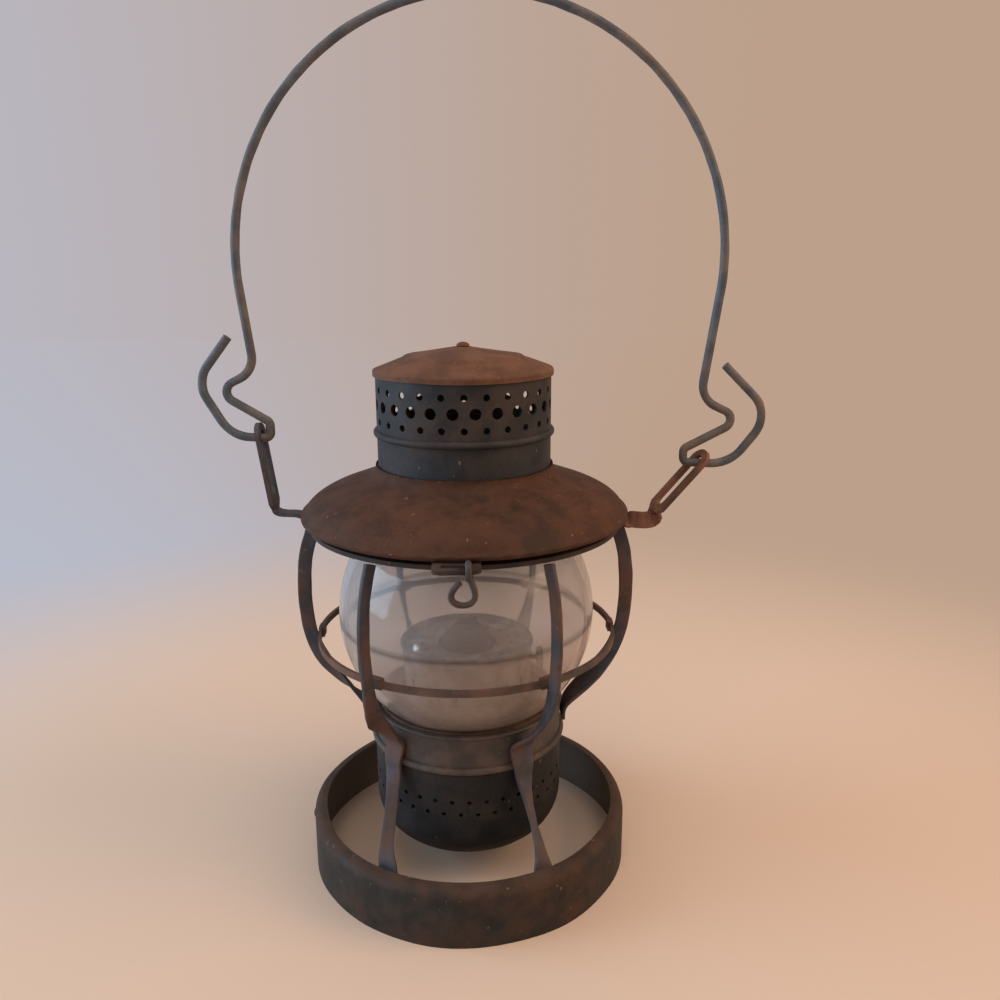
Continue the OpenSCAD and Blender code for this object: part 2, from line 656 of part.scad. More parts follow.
// Lid side of the hinge: leaf bent over the brim's edge, with one barrel
leaf_t = 1.2;
leaf_gap = 0.35;
leaf_end_r = 57;
lid_rivet_r = 60.5;
function leaf_line(g) =
    concat([[brim_r + leaf_gap + g, bead_z + 0.3], [brim_r - 0.3 + g * 0.8, bead_z + bead_r + 0.4 + g * 0.7]],
           [for (r = [brim_r - 2.6, brim_r - 6, lid_rivet_r, leaf_end_r]) [r + g * 0.55, brim_at(r) + leaf_gap + g * 0.84]]);
module lid_rivet_places() {
    for (x = [-2.1, 2.1]) translate([x, lid_rivet_r, brim_at(lid_rivet_r)])
        rotate([-26, 0, 0]) children();
}
module hinge_leaf_lid() {
    low = leaf_line(0);
    high = leaf_line(leaf_t);
    color(iron)
    difference() {
        union() {
            rotate([90, 0, 90]) translate([0, 0, -barrel_half]) linear_extrude(2 * barrel_half)
                polygon(concat([[hinge_y - 1.8, hinge_z]], low, rev(high), [[hinge_y + 1, hinge_z]]));
            translate([-barrel_half, hinge_y, hinge_z]) rotate([0, 90, 0])
                cylinder(h = 2 * barrel_half, r = barrel_r, $fn = 32);
        }
        translate([-barrel_half - 1, hinge_y, hinge_z]) rotate([0, 90, 0])
            cylinder(h = 2 * barrel_half + 2, r = pin_r + fit_gap, $fn = 32);
        lid_rivet_places() cylinder(h = 8, r = rivet_r, center = true, $fn = 24);
    }
}
module lid_rivets() {
    color(iron)
    lid_rivet_places() translate([0, 0, -lid_t - 0.5]) rivet(lid_t + leaf_gap + leaf_t + 0.9, r = 0.9, head = 1.7, h = 0.9);
}

// Bail: corner points of the wire in the plane of x and z, from each tip up to the arch; the two
// points on the line between the pivots carry the leg that runs through the ear's slot
function from(pivot, offsets) = [for (o = offsets) pivot + o];
left_corners = from(pivot_left, [[-10.8, 41.9], [-25, 23.7], -12.4 * pivot_dir, 4.1 * pivot_dir, [4.1, 6.7],
                                 [-17.4, 19.8], [-0.8, 28.1]]);
left_rounds = [0, 12, 14, 2.4, 2.6, 4.4, 10];
right_corners = from(pivot_right, [[10, 41.8], [31.1, 20.9], 14 * pivot_dir, -6.2 * pivot_dir, [-6.2, 6.2],
                                   [18.6, 18.8], [0.1, 27.7]]);
right_rounds = [0, 12.5, 16, 2.4, 2.6, 4, 10];
arch_mid = (pivot_left + pivot_right) / 2 + [arch_shift, arch_rise];
// Angle at which a straight line from point p meets the arch
function touch(p, s) =
    let(v = p - arch_mid) atan2(v[1], v[0]) + s * acos(arch_r / norm(v));
function arch_point(a) = arch_mid + arch_r * [cos(a), sin(a)];
function side_path(c, r, a) =
    let(p = concat(c, [arch_point(a)])) rounded(p, concat(r, [0]), 6);
module bail() {
    a_left = touch(left_corners[6], -1) + 360;
    a_right = touch(right_corners[6], 1);
    steps = 44;
    arch = [for (i = [1:steps - 1]) arch_point(a_left + (a_right - a_left) * i / steps)];
    path = concat(side_path(left_corners, left_rounds, a_left), arch,
                  rev(side_path(right_corners, right_rounds, a_right)));
    color(iron) {
        wire([for (p = path) [p[0], 0, p[1]]], wire_d / 2, 12, [0, 1, 0]);
        // The two lengths that turn in the ears are truly round
        for (p = [pivot_left, pivot_right]) translate([p[0], 0, p[1]])
            rotate([0, 90 - atan2(pivot_dir[1], pivot_dir[0]), 0])
                cylinder(h = 3, r = wire_d / 2 + 0.03, center = true, $fn = 32);
    }
}

// Pot: cup with a rounded floor, two rows of air holes and a neck that slips into the collar
pot_round_z = pot_bottom_z + 18.5;
pot_round_r = 17.3;
pot_flat_r = pot_r - pot_round_r;
vent_z = collar_z - 13.2;
module pot() {
    w = pot_wall;
    color("darkslategray")
    difference() {
        rotate_extrude($fn = 96)
            polygon(concat([[0, pot_bottom_z]],
                           arc(pot_flat_r, pot_round_z, pot_round_r, pot_round_z - pot_bottom_z, -90, 0, 10),
                           [[pot_r, collar_z - 0.4], [pot_neck_r, collar_z - 0.4], [pot_neck_r, collar_z + 8],
                            [pot_neck_r - w, collar_z + 8], [pot_neck_r - w, collar_z - 1.6], [pot_r - w, collar_z - 3]],
                           arc(pot_flat_r, pot_round_z, pot_round_r - w, pot_round_z - pot_bottom_z - w, 0, -90, 10),
                           [[0, pot_bottom_z + w]]));
        hole_row(pot_vents, vent_z, pot_vent_d, pot_r - w - 1, pot_r + 1);
        hole_row(pot_vents, vent_z - 5.8, pot_vent_d, pot_r - w - 1, pot_r + 1, 0.5);
        // Bayonet slots: a run round the neck and a way up to its rim
        slot = 2 * bayonet_pin_r + 0.7;
        half = asin(slot / 2 / pot_neck_r);
        for (a = bayonet_angles) {
            at_angle(a - pot_twist - half)
                rotate_extrude(angle = pot_twist + 2 * half, $fn = 96)
                    translate([pot_neck_r - w - 1, bayonet_z - slot / 2]) square([w + 2, slot]);
            at_angle(a - pot_twist - half + 0.3)
                rotate_extrude(angle = 2 * half - 0.6, $fn = 96)
                    translate([pot_neck_r - w - 1.2, bayonet_z]) square([w + 2.4, 10]);
        }
    }
}

// Fount: sheet oil tank that stands in the pot, with a threaded collar for the burner
fount_bottom = pot_bottom_z + pot_wall + 0.3;
fount_top = collar_z - 2;
fount_wall = 0.8;
fount_round = 17.6;
burner_r = 13;
filler_r = 26;
module fount() {
    w = fount_wall;
    rz = 18.2;
    flat = fount_r - fount_round;
    color("goldenrod")
    difference() {
        rotate_extrude($fn = 72)
            polygon(concat([[0, fount_bottom]],
                           arc(flat, fount_bottom + rz, fount_r - flat, rz, -90, 0, 8),
                           arc(fount_r - 3, fount_top - 3, 3, 3, 0, 90, 4),
                           [[burner_r + 1.6, fount_top], [burner_r + 1.6, fount_top + 5], [burner_r + 0.3, fount_top + 5],
                            [burner_r + 0.3, fount_top - w]],
                           arc(fount_r - 3, fount_top - 3, 3 - w, 3 - w, 90, 0, 4),
                           arc(flat, fount_bottom + rz, fount_r - flat - w, rz - w, 0, -90, 8),
                           [[0, fount_bottom + w]]));
        translate([0, filler_r, fount_top - 4]) cylinder(h = 8, r = 4, $fn = 32);
    }
}
module filler_cap() {
    color(brass)
    translate([0, filler_r, fount_top + seat_gap]) {
        cylinder(h = 3.4, r = 6, $fn = 10);
        translate([0, 0, -3]) cylinder(h = 3.2, r = 3.8, $fn = 32);
    }
}

// Burner base: threaded sleeve and a cup that spreads up to the gallery
base_z0 = fount_top - 3;
gallery_h = 23;
cup_z = gallery_top_z - gallery_h;
gallery_low_r = gallery_r - 2;
module burner_base() {
    color(brass)
    difference() {
        rotate_extrude($fn = 72)
            polygon([[0, base_z0], [burner_r, base_z0], [burner_r, fount_top + 6], [burner_r + 2.6, fount_top + 6],
                     [burner_r + 2.6, fount_top + 8], [burner_r, fount_top + 8], [gallery_low_r, cup_z - 4],
                     [gallery_low_r, cup_z - 0.1], [gallery_low_r - 1, cup_z - 0.1], [gallery_low_r - 1, cup_z - 3.4],
                     [burner_r - 1.2, fount_top + 7.6], [burner_r - 1.2, base_z0 + 1.2], [0, base_z0 + 1.2]]);
        translate([-tube_w / 2 - seat_gap, -tube_t / 2 - seat_gap, base_z0 - 1])
            cube([tube_w + 2 * seat_gap, tube_t + 2 * seat_gap, 4]);
    }
}

// Gallery: slotted drum round the burner with a rolled rim
module burner_gallery() {
    w = 0.8;
    slots = 16;
    slot_w = 3;
    slot_h = 8;
    color(brass)
    difference() {
        rotate_extrude($fn = 72)
            polygon(concat([[gallery_low_r - w, cup_z], [gallery_low_r, cup_z], [gallery_r - 0.8, gallery_top_z - 1.6]],
                           arc(gallery_r - 0.8, gallery_top_z - 0.8, 0.8, 0.8, -90, 90, 6),
                           [[gallery_r - 0.8 - w, gallery_top_z]]));
        for (i = [0:slots - 1]) at_angle((i + 0.5) * 360 / slots)
            translate([gallery_low_r - 3, -slot_w / 2, cup_z + 3]) cube([8, slot_w, slot_h]);
        translate([0, shaft_y, shaft_z]) rotate([0, 90, 0]) cylinder(h = gallery_r + 2, r = shaft_r + fit_gap, $fn = 24);
    }
}

// Deck: pierced plate that carries the cone
cone_r = 11.5;
cone_h = 10.4;
deck_holes = 18;
module burner_deck() {
    color(brass)
    difference() {
        translate([0, 0, deck_z]) rotate_extrude($fn = 64)
            translate([cone_r - 2.4, 0]) square([gallery_r - 2.4 - cone_r + 2.4, 0.9]);
        for (i = [1:deck_holes]) at_angle(360 * i / deck_holes)
            translate([(cone_r + gallery_r) / 2 - 1, 0, deck_z - 1]) cylinder(h = 3, r = 1.3, $fn = 16);
    }
}

// Cone: flame dome with a blaze slot
module burner_cone() {
    z = deck_z + 0.9 + seat_gap;
    k = cone_h / 14;
    outer = [[cone_r + 1.4, z], [cone_r + 1.4, z + 0.8], [cone_r, z + 0.8], [cone_r - 0.2, z + 4 * k],
             [cone_r - 1.6, z + 6.6 * k], [6.6, z + 8.4 * k], [6.2, z + 11 * k], [5, z + 13 * k], [0, z + cone_h]];
    color("darkgoldenrod")
    difference() {
        rotate_extrude($fn = 48)
            polygon(concat(outer, [[0, z + 13.1 * k], [4.5, z + 12.2 * k], [5.4, z + 10.6 * k], [5.8, z + 8 * k],
                                   [cone_r - 2.3, z + 6 * k], [cone_r - 1, z + 3.8 * k], [cone_r - 0.9, z]]));
        translate([-wick_w / 2 - 1.2, -2.2, z + 10 * k]) cube([wick_w + 2.4, 4.4, 10]);
    }
}

// Wick tube: flat tube with two windows for the wheels and a lug for their shaft
tube_top = deck_z + 5.4;
tube_low = base_z0 - 6;
wheel_x = 2.3;
wheel_t = 1.2;
lug_x = tube_w / 2 + 0.6;
module wick_tube() {
    color(brass)
    difference() {
        union() {
            translate([-tube_w / 2, -tube_t / 2, tube_low]) cube([tube_w, tube_t, tube_top - tube_low]);
            translate([lug_x, shaft_y - 2.4, shaft_z - 3]) cube([1.2, 2.4 - shaft_y + tube_t / 2, 6]);
            translate([tube_w / 2 - 0.4, -tube_t / 2, shaft_z - 3]) cube([lug_x - tube_w / 2 + 0.8, tube_t, 6]);
        }
        translate([-tube_w / 2 + tube_wall, -tube_t / 2 + tube_wall, tube_low - 1])
            cube([tube_w - 2 * tube_wall, tube_t - 2 * tube_wall, tube_top - tube_low + 2]);
        for (s = [-1, 1]) translate([s * wheel_x - wheel_t / 2 - 0.35, -tube_t / 2 - 1, shaft_z - wheel_r - 0.3])
            cube([wheel_t + 0.7, 1 + tube_wall + 0.1, 2 * wheel_r + 0.6]);
        translate([lug_x - 1, shaft_y, shaft_z]) rotate([0, 90, 0]) cylinder(h = 4, r = shaft_r + fit_gap, $fn = 24);
    }
}

wick_top = tube_top + 1;
wick_low = fount_bottom + 8;
module wick() {
    color("ivory")
    translate([-wick_w / 2, -wick_t / 2, wick_low]) cube([wick_w, wick_t, wick_top - wick_low]);
}

// Wick shaft with its two spur wheels and the knob outside the gallery
shaft_x0 = -wheel_x - wheel_t / 2 - 0.6;
shaft_x1 = gallery_r + 4.2;
module wick_shaft() {
    color(brass)
    translate([shaft_x0, shaft_y, shaft_z]) rotate([0, 90, 0]) cylinder(h = shaft_x1 - shaft_x0, r = shaft_r, $fn = 24);
}
module wick_wheels() {
    teeth = 12;
    color(brass)
    for (s = [-1, 1]) translate([s * wheel_x - wheel_t / 2, shaft_y, shaft_z]) rotate([0, 90, 0])
        difference() {
            linear_extrude(wheel_t)
                polygon([for (i = [0:2 * teeth - 1]) let(a = 180 * i / teeth, r = i % 2 == 0 ? wheel_r : wheel_r - 0.6)
                         [r * cos(a), r * sin(a)]]);
            translate([0, 0, -1]) cylinder(h = wheel_t + 2, r = shaft_r + 0.02, $fn = 24);
        }
}
module wick_knob() {
    grips = 16;
    color(brass)
    translate([gallery_r + 1.4, shaft_y, shaft_z]) rotate([0, 90, 0])
        difference() {
            linear_extrude(2.4)
                polygon([for (i = [0:2 * grips - 1]) let(a = 180 * i / grips, r = i % 2 == 0 ? knob_r : knob_r - 0.4)
                         [r * cos(a), r * sin(a)]]);
            translate([0, 0, -1]) cylinder(h = 5, r = shaft_r + 0.02, $fn = 24);
        }
}

base_ring();
base_seam_rivet();
collar_band();
bayonet_pins();
globe_seat();
globe();
guard_strap_front_left();
guard_strap_front_right();
guard_strap_rear_left();
guard_strap_rear_right();
guard_strap_left();
guard_strap_right();
guard_ring();
guard_clips();
top_ring();
ear_left();
ear_right();
ear_rivets();
hinge_leaf_frame();
hinge_rivets();
hinge_pin();
latch_plate();
latch_rivets();
latch_hook();
brim();
chimney();
draft_bell();
cap();
cap_rivet();
hinge_leaf_lid();
lid_rivets();
bail();
pot();
fount();
filler_cap();
burner_base();
burner_gallery();
burner_deck();
burner_cone();
wick_tube();
wick();
wick_shaft();
wick_wheels();
wick_knob();
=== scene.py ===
import bpy
from math import acos, atan2, cos, pi, sin, tan
from mathutils import Matrix, Vector, noise


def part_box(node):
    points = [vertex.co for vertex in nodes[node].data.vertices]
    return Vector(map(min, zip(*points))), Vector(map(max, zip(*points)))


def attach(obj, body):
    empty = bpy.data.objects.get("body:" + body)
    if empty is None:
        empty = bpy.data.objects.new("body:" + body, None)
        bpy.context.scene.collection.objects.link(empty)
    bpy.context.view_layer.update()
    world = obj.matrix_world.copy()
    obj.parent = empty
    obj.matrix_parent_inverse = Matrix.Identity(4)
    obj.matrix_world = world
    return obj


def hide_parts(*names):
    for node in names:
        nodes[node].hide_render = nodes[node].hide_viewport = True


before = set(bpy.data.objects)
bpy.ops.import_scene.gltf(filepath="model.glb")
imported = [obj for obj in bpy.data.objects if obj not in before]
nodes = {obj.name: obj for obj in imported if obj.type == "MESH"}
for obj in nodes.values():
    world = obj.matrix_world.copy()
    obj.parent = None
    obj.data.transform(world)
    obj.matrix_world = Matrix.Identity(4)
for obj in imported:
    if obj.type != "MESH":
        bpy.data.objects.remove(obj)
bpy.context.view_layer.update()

# Camera: it stands in front, a little above the chimney, and looks down at the globe.
# Its place and lens were fitted to the round edges of brim, chimney, globe and base.
CAMERA_PLACE = (0, -0.3772, 0.2675)
LOOK_DOWN = 0.258
LOOK_RIGHT = 0.04
CAMERA_ROLL = -0.004
LENS_MM = 32.4
SENSOR_MM = 36
NEAREST_SEEN = 0.01
ahead = Vector((sin(LOOK_RIGHT) * cos(LOOK_DOWN), cos(LOOK_RIGHT) * cos(LOOK_DOWN), -sin(LOOK_DOWN)))
level = Vector((cos(LOOK_RIGHT), -sin(LOOK_RIGHT), 0))
upward = level.cross(ahead)
right_edge = level * cos(CAMERA_ROLL) + upward * sin(CAMERA_ROLL)
top_edge = -level * sin(CAMERA_ROLL) + upward * cos(CAMERA_ROLL)
camera = bpy.data.objects.new("camera", bpy.data.cameras.new("camera"))
camera.data.lens = LENS_MM
camera.data.sensor_width = SENSOR_MM
camera.data.clip_start = NEAREST_SEEN
camera.matrix_world = Matrix.Translation(CAMERA_PLACE) @ Matrix(
    (right_edge, top_edge, -ahead)).transposed().to_4x4()
bpy.context.scene.collection.objects.link(camera)
bpy.context.scene.camera = camera
bpy.context.scene.view_settings.view_transform = "Standard"


# Floor and room: a pale tabletop that fades into a pale room, in the soft light of a cool window
# on the left, a warm lamp on the right and the ceiling. A small lamp low on the left is meant
# for the globe's glint. None of it belongs to the lantern.
class Value:
    """One socket of a finish; sums on it add Math nodes."""

    def __init__(self, finish, socket):
        self.finish = finish
        self.socket = socket

    def __add__(self, other):
        return self.finish.maths("ADD", self, other)

    def __rsub__(self, other):
        return self.finish.maths("SUBTRACT", other, self)

    def __mul__(self, other):
        return self.finish.maths("MULTIPLY", self, other)

    __radd__ = __add__
    __rmul__ = __mul__


class Finish:
    """A material made of nodes, or the room's air. On a material, place and facing are the point
    and the normal on the piece."""

    def __init__(self, name, kind=bpy.data.materials):
        self.made = kind.new(name)
        self.made.use_nodes = True
        self.tree = self.made.node_tree
        self.tree.nodes.clear()
        spot = self.tree.nodes.new("ShaderNodeTexCoord")
        self.place = Value(self, spot.outputs["Object"])
        self.facing = Value(self, spot.outputs["Normal"])

    def node(self, kind, settings=None, sockets=None, out=0):
        """Adds a node, sets it, fills or links its sockets, and gives one of its outputs."""
        node = self.tree.nodes.new(kind)
        for key, value in (settings or {}).items():
            setattr(node, key, value)
        for key, value in (sockets or {}).items():
            if isinstance(value, Value):
                self.tree.links.new(value.socket, node.inputs[key])
            else:
                node.inputs[key].default_value = value
        return Value(self, node.outputs[out]) if len(node.outputs) else None

    def maths(self, operation, first, second):
        return self.node("ShaderNodeMath", {"operation": operation}, {0: first, 1: second})

    def noise(self, scale, detail, roughness, shift):
        """Clouds in the piece's own space, moved by shift so that no two finishes are alike."""
        moved = self.node("ShaderNodeMapping", None, {"Vector": self.place, "Location": (shift,) * 3})
        return self.node("ShaderNodeTexNoise", None, {
            "Vector": moved, "Scale": scale, "Detail": detail, "Roughness": roughness})

    def step(self, value, low, high):
        """Rises softly from 0 at low to 1 at high."""
        return self.node("ShaderNodeMapRange", {"interpolation_type": "SMOOTHSTEP"},
                         {"Value": value, "From Min": low, "From Max": high})

    def part(self, vector, axis):
        return self.node("ShaderNodeSeparateXYZ", None, {0: vector}, out=axis)

    def colour(self, first, second, mask):
        """The first colour where the mask is 0, and the second where it is 1."""
        pair = [tint if isinstance(tint, Value) else (*tint, 1) for tint in (first, second)]
        return self.node("ShaderNodeMix", {"data_type": "RGBA"}, {0: mask, 6: pair[0], 7: pair[1]},
                         out=2)

    def surface(self, height, depth, sockets):
        """A surface with these sockets, and bumps of that height map and that depth in metres."""
        bumps = self.node("ShaderNodeBump", None, {"Height": height, "Distance": depth})
        return self.node("ShaderNodeBsdfPrincipled", None, {**sockets, "Normal": bumps})

    def done(self, shader, output="ShaderNodeOutputMaterial"):
        self.node(output, None, {"Surface": shader})
        return self.made


def tone(red, green, blue):
    """A colour as it looks on a screen, 0 to 255, as the linear values that a shader takes."""
    return tuple(((part / 255 + 0.055) / 1.055) ** 2.4 if part > 10 else part / 3294
                 for part in (red, green, blue))


def wear(piece, material):
    piece.data.materials.clear()
    piece.data.materials.append(material)


FLOOR_SIZE = 6
TABLE = tone(200, 172, 152)
FADE_START = 0.22
FADE_END = 0.60
# The room's sides are painted with light: cool window light on the left, warm lamp light on the right.
PAINTED_WINDOW_LIGHT = tone(184, 187, 201)
PAINTED_LAMP_LIGHT = tone(188, 160, 139)
COOL_UNTIL = -0.75
WARM_FROM = 0.35


def room_with_painted_light(finish, direction):
    """The room's colour in a direction, with painted light: cool window light left, warm lamp light
    right.
    """
    across = finish.step(finish.part(direction, 0), COOL_UNTIL, WARM_FROM)
    return finish.colour(PAINTED_WINDOW_LIGHT, PAINTED_LAMP_LIGHT, across)


bpy.ops.mesh.primitive_plane_add(size=FLOOR_SIZE)
floor = bpy.context.object
floor.name = "floor"
tabletop = Finish("tabletop")
away = tabletop.node("ShaderNodeVectorMath", {"operation": "LENGTH"}, {0: tabletop.place}, out=1)
heading = tabletop.node("ShaderNodeVectorMath", {"operation": "NORMALIZE"}, {0: tabletop.place})
matt = tabletop.node("ShaderNodeBsdfDiffuse", None, {"Color": (*TABLE, 1)})
glow = tabletop.node("ShaderNodeEmission", None, {"Color": room_with_painted_light(tabletop, heading)})
wear(floor, tabletop.done(tabletop.node("ShaderNodeMixShader", None, {
    0: tabletop.step(away, FADE_START, FADE_END), 1: matt, 2: glow})))

# The air lights the lantern evenly; camera, gloss and glass see the room's painted light tint instead.
AIR = (1, 0.96, 0.93)
AIR_STRENGTH = 0.58
room = Finish("room", bpy.data.worlds)
seen = 0.0
for ray in ("Is Camera Ray", "Is Glossy Ray", "Is Transmission Ray"):
    seen = room.maths("MAXIMUM", seen, room.node("ShaderNodeLightPath", out=ray))
soft_air = room.node("ShaderNodeBackground", None, {"Color": (*AIR, 1), "Strength": AIR_STRENGTH})
direction = room.node("ShaderNodeTexCoord", out="Generated")
back_air = room.node("ShaderNodeBackground", None, {"Color": room_with_painted_light(room, direction)})
bpy.context.scene.world = room.done(
    room.node("ShaderNodeMixShader", None, {0: seen, 1: soft_air, 2: back_air}),
    output="ShaderNodeOutputWorld")


def lamp(name, place, aim, size, watts, colour):
    light = bpy.data.lights.new(name, "AREA")
    light.size = size
    light.energy = watts
    light.color = colour
    holder = bpy.data.objects.new(name, light)
    holder.location = place
    holder.rotation_euler = (Vector(aim) - Vector(place)).to_track_quat("-Z", "Y").to_euler()
    bpy.context.scene.collection.objects.link(holder)


lamp("window", place=(-1.15, 0.0, 0.45), aim=(0, 0, 0.15), size=0.8, watts=15,
     colour=(0.50, 0.75, 1.0))
lamp("warm_lamp", place=(1.0, -0.25, 0.8), aim=(0, 0, 0.15), size=0.7, watts=8,
     colour=(1.0, 0.74, 0.52))
lamp("ceiling", place=(0.05, -0.4, 1.5), aim=(0, 0, 0.1), size=1.0, watts=7,
     colour=(1.0, 0.92, 0.84))
lamp("glint", place=(-0.2417, -0.2735, 0.018), aim=(-0.02, -0.052, 0.122), size=0.028, watts=0.08,
     colour=(0.6, 0.85, 1.0))

# Base ring: a band of sheet iron with a rounded shoulder and a turned-in edge, bent to a ring and
# riveted at one seam on the left. Years of standing have dented it and its top edge is brown. Its
# inside is painted paler than the rest, as painted light on the side that faces the axis.
DUST = tone(150, 138, 128)
CHIPPED = tone(158, 124, 98)
BROAD_SHARE = 0.62
PAINT_HOLDS = 0.64
RUST_GAINS = 0.28
RUST_BLUR = 0.14
EDGE_WEAR = 0.14
PIT_DEPTH = 0.00025


def shade(colour, factor, lift=0.0):
    return tuple(min(1, part * factor + lift) for part in colour)


def iron(name, paint, rust, rusted, seed, dust=0.03, edge=None, painted_light_inside=None):
    """Thin old paint over rust. rusted is the share of rust, from 0 to 1; edge is the height and
    depth, in metres, of a rim that has worn down to rust, and inner is painted light: a paler tone
    painted on the side that looks at the lantern's axis."""
    coat = Finish(name)
    broad = coat.noise(scale=22, detail=4, roughness=0.55, shift=seed)
    patch = coat.noise(scale=90, detail=5, roughness=0.62, shift=seed + 3.1)
    speck = coat.noise(scale=560, detail=3, roughness=0.6, shift=seed + 7.7)
    chip = coat.noise(scale=330, detail=2, roughness=0.5, shift=seed + 11)
    # Where the rust is
    spread = broad * BROAD_SHARE + patch * (1 - BROAD_SHARE)
    if edge:
        rim, rim_depth = edge
        spread = spread + coat.step(coat.part(coat.place, 2), rim - rim_depth, rim) * EDGE_WEAR
    limit = PAINT_HOLDS - RUST_GAINS * rusted
    rust_mask = coat.step(spread, limit - RUST_BLUR, limit + RUST_BLUR)
    # Rust in three tones, and paint in two with rust specks
    pale_spots = coat.step(speck * 0.5 + broad * 0.5, 0.54, 0.70) * 0.6
    rust_tone = coat.colour(shade(rust, 0.72), rust, coat.step(patch, 0.36, 0.60))
    rust_tone = coat.colour(rust_tone, shade(rust, 1.3, lift=0.003), pale_spots)
    thin_paint = coat.colour(shade(paint, 0.75), shade(paint, 1.15), coat.step(patch, 0.35, 0.65))
    thin_paint = coat.colour(thin_paint, rust, coat.step(speck, 0.60, 0.74) * 0.45)
    base = coat.colour(thin_paint, rust_tone, rust_mask)
    # Dust on what faces up, a few chips, and painted light on the side that faces the axis
    lying = coat.step(coat.part(coat.facing, 2), 0.2, 1.0) * coat.step(patch, 0.3, 0.75) * dust
    base = coat.colour(base, DUST, lying)
    base = coat.colour(base, CHIPPED, coat.step(chip, 0.70, 0.76) * 0.3)
    # The side that faces the axis is painted paler: painted light where the shade inside is deep.
    if painted_light_inside:
        outward = coat.node("ShaderNodeVectorMath", {"operation": "DOT_PRODUCT"},
                            {0: coat.facing, 1: coat.place}, out=1)
        base = coat.colour(painted_light_inside, base, coat.step(outward, -0.04, -0.01))
    return coat.done(coat.surface(rust_mask * 0.4 + patch * 0.6 + speck * 0.45, PIT_DEPTH, {
        "Base Color": base,
        "Roughness": 0.52 + 0.24 * rust_mask + speck * 0.14,
        "Metallic": 0.2 - 0.2 * rust_mask,
        "Specular IOR Level": 0.25}))


MERGE_WITHIN = 0.000004
QUAD_BEND = 0.3
QUAD_SKEW = 0.6


def select(piece):
    """Makes this the one piece that operators act on."""
    bpy.ops.object.select_all(action="DESELECT")
    bpy.context.view_layer.objects.active = piece
    piece.select_set(True)


def copied(name, body):
    """A copy of a solid's mesh with its loose triangles joined, which stands for that solid."""
    piece = nodes[name].copy()
    piece.data = nodes[name].data.copy()
    piece.name = name + "_piece"
    bpy.context.scene.collection.objects.link(piece)
    piece.hide_render = False
    select(piece)
    bpy.ops.object.mode_set(mode="EDIT")
    bpy.ops.mesh.select_all(action="SELECT")
    bpy.ops.mesh.remove_doubles(threshold=MERGE_WITHIN)
    bpy.ops.mesh.tris_convert_to_quads(face_threshold=QUAD_BEND, shape_threshold=QUAD_SKEW)
    bpy.ops.object.mode_set(mode="OBJECT")
    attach(piece, body)
    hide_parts(name)
    return piece


def smooth(piece, angle):
    """Shades a piece smoothly, up to edges of this angle in radians."""
    select(piece)
    bpy.ops.object.shade_smooth_by_angle(angle=angle)


def dent(piece, depth, size, flat):
    """Moves the sheet softly in and out, both its walls together: up and down where flat is 1,
    away from the axis and towards it where flat is 0."""
    for vertex in piece.data.vertices:
        out = Vector((vertex.co.x, vertex.co.y, 0)).normalized()
        way = out * (1 - flat) + Vector((0, 0, flat))
        vertex.co += way * (noise.noise(vertex.co / size) * depth)


# The ring's inside gets a paler tone as painted light.
ring_iron = iron("ring_iron", tone(44, 43, 40), tone(66, 45, 33), 0.42, seed=1.3, dust=0.01,
                 edge=(0.0265, 0.006), painted_light_inside=tone(98, 86, 76))
base_ring = copied("base_ring", "frame")
dent(base_ring, depth=0.0007, size=0.03, flat=0)
smooth(base_ring, angle=0.7)
wear(base_ring, ring_iron)
wear(nodes["base_seam_rivet"], ring_iron)

# Pot: the drawn iron cup that holds the fount. It twists off the collar and breathes through two
# rows of small holes. It hangs in the shade, and its black paint has lasted best; its near-black
# colour is partly black paint and partly painted shade.
pot_iron_and_painted_shade = iron("pot_iron_and_painted_shade", tone(33, 33, 33), tone(48, 38, 32), 0.2, seed=4.1)
wear(nodes["pot"], pot_iron_and_painted_shade)

# Collar: the band that the pot twists into, with a rolled bead at its foot and an upper edge
# that carries the globe's dished seat. Three pins inside it catch the pot's slots.
collar_iron = iron("collar_iron", tone(74, 67, 63), tone(92, 69, 56), 0.38, seed=5.2)
seat_iron = iron("seat_iron", tone(74, 56, 46), tone(96, 68, 52), 0.75, seed=6.2)
wear(nodes["collar_band"], collar_iron)
wear(nodes["bayonet_pins"], collar_iron)
wear(nodes["globe_seat"], seat_iron)


# Guard bars: six flat iron bars from the top ring round the globe to the collar. Four go on as
# legs to the base ring, where they lie flat. The front left one is bent sideways at the collar.
def modified(piece, kind, **settings):
    """Adds one modifier, sets it and applies it."""
    bpy.context.view_layer.objects.active = piece
    modifier = piece.modifiers.new(kind.lower(), kind)
    for key, value in settings.items():
        setattr(modifier, key, value)
    bpy.ops.object.modifier_apply(modifier=modifier.name)


def rounded(piece, width, segments=2):
    modified(piece, "BEVEL", width=width, segments=segments, limit_method="ANGLE", angle_limit=0.9)


def pit(piece, depth, size):
    """Moves each point along its normal, as rust does to wire and bar."""
    for vertex in piece.data.vertices:
        vertex.co += vertex.normal * (noise.noise(vertex.co / size) * depth)


bar_iron = iron("bar_iron", tone(68, 70, 76), tone(92, 62, 47), 0.42, seed=2.2)
for side in ("front_left", "front_right", "rear_left", "rear_right", "left", "right"):
    bar = copied("guard_strap_" + side, "frame")
    rounded(bar, width=0.0004)
    modified(bar, "SUBSURF", levels=1, render_levels=1)
    pit(bar, depth=0.00022, size=0.006)
    smooth(bar, angle=0.9)
    wear(bar, bar_iron)

# Guard ring: a narrow iron strip that runs round the globe inside the bars. A small clip of
# sheet holds it to each bar.
strip_iron = iron("strip_iron", tone(78, 68, 64), tone(104, 72, 56), 0.55, seed=3.4)
for name in ("guard_ring", "guard_clips"):
    strip = copied(name, "frame")
    smooth(strip, angle=0.6)
    wear(strip, strip_iron)

